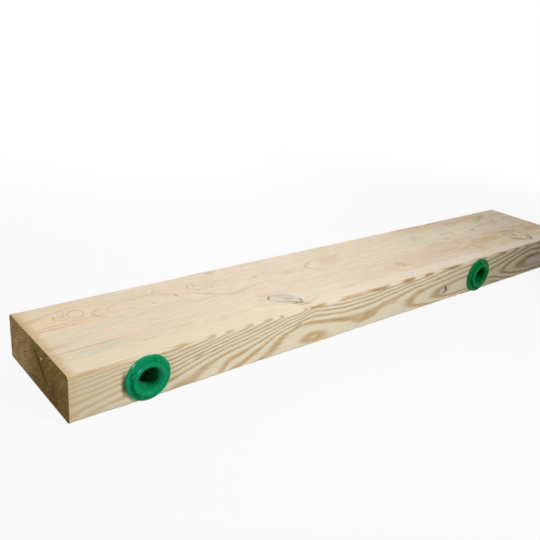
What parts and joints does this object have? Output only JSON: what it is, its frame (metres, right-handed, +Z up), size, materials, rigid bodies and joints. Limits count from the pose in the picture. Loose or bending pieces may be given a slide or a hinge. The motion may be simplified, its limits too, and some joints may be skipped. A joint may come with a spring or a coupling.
{
  "type": "treated timber stud with threaded bushings",
  "caption": "Planed treated softwood stud lying on its wide face, with threaded plastic bushings for levelling screws in one narrow edge and their holes drilled right through.",
  "frame": {"origin": "middle of the wide face that the stud lies on", "axes": "+X along the stud away from the end nearest a bushing, +Y across its width away from the bushings, +Z up"},
  "size_m": [0.72, 0.1285, 0.042],
  "materials": {
    "treated_timber": "matte",
    "green_plastic": "gloss"
  },
  "bodies": {
    "root": {"timber_stud": "treated_timber", "bushing_1": "green_plastic", "bushing_2": "green_plastic"}
  },
  "joints": []
}
